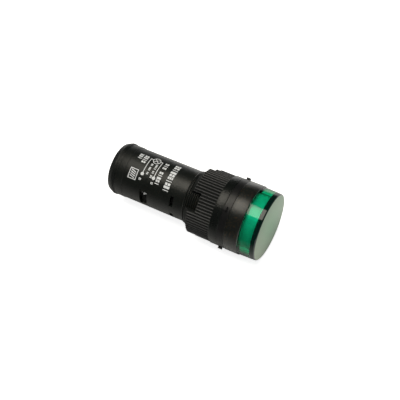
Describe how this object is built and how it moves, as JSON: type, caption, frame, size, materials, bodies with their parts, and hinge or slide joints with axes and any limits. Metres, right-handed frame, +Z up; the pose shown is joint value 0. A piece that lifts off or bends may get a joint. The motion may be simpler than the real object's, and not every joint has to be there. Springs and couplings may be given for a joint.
{
  "type": "panel pilot light",
  "caption": "Round panel pilot light: flat green lens cap on a black threaded barrel with a rubber gasket, a ribbed ring nut and screw terminals at the rear.",
  "frame": {"origin": "on the lamp's axis at the seating plane, where the gasket's rear face meets the front of the panel", "axes": "+Y runs back along the barrel into the panel, -Y points out of the lens at the viewer, +Z is up as in an upright panel, and X is level across it, through the latches"},
  "size_m": [0.0204, 0.0484, 0.0204],
  "materials": {
    "black_plastic": "fine satin moulding",
    "green_lens": "clear polished green",
    "white_diffuser": "milky",
    "black_rubber": "matt",
    "brass_plate": "stamped sheet",
    "plated_steel": "bright zinc plate",
    "board_laminate": "green solder mask",
    "white_laminate": "white solder mask",
    "resistor_coat": "painted",
    "capacitor_sleeve": "shrunk sleeve",
    "black_epoxy": "moulded epoxy",
    "chip_package": "moulded package",
    "tinned_pins": "tin plate"
  },
  "bodies": {
    "lamp": {"housing": "black_plastic", "lens_cap": "green_lens", "diffuser_cup": "white_diffuser", "sealing_gasket": "black_rubber", "terminal_block": "black_plastic", "upper_terminal": "brass_plate", "lower_terminal": "brass_plate", "driver_board": "board_laminate", "series_resistors": "resistor_coat", "smoothing_capacitor": "capacitor_sleeve", "bridge_rectifier": "black_epoxy", "protection_diode": "black_epoxy", "shunt_resistor": "black_epoxy", "led_board": "white_laminate", "led_chips": "chip_package", "board_pins": "tinned_pins"},
    "nut": {"ring_nut": "black_plastic"},
    "upper_clamp": {"upper_clamp": "plated_steel"},
    "upper_screw": {"upper_screw": "plated_steel"},
    "lower_clamp": {"lower_clamp": "plated_steel"},
    "lower_screw": {"lower_screw": "plated_steel"}
  },
  "joints": [
    {"name": "nut_travel", "type": "slide", "parent": "lamp", "child": "nut", "axis": [0, 1, 0], "range_m": [0, 0.012]},
    {"name": "upper_clamp_travel", "type": "slide", "parent": "lamp", "child": "upper_clamp", "axis": [0, 1, 0], "range_m": [0, 0.00198]},
    {"name": "upper_screw_turn", "type": "hinge", "parent": "upper_clamp", "child": "upper_screw", "pos_m": [0, 0.03, 0.0031], "axis": [0, 1, 0], "range_deg": [0, 1584]},
    {"name": "lower_clamp_travel", "type": "slide", "parent": "lamp", "child": "lower_clamp", "axis": [0, 1, 0], "range_m": [0, 0.00198]},
    {"name": "lower_screw_turn", "type": "hinge", "parent": "lower_clamp", "child": "lower_screw", "pos_m": [0, 0.03, -0.0031], "axis": [0, 1, 0], "range_deg": [0, 1584]}
  ],
  "couplings": [
    {"joint": "upper_screw_turn", "follows": "upper_clamp_travel", "rad_per_m": 13963},
    {"joint": "lower_screw_turn", "follows": "lower_clamp_travel", "rad_per_m": 13963}
  ]
}
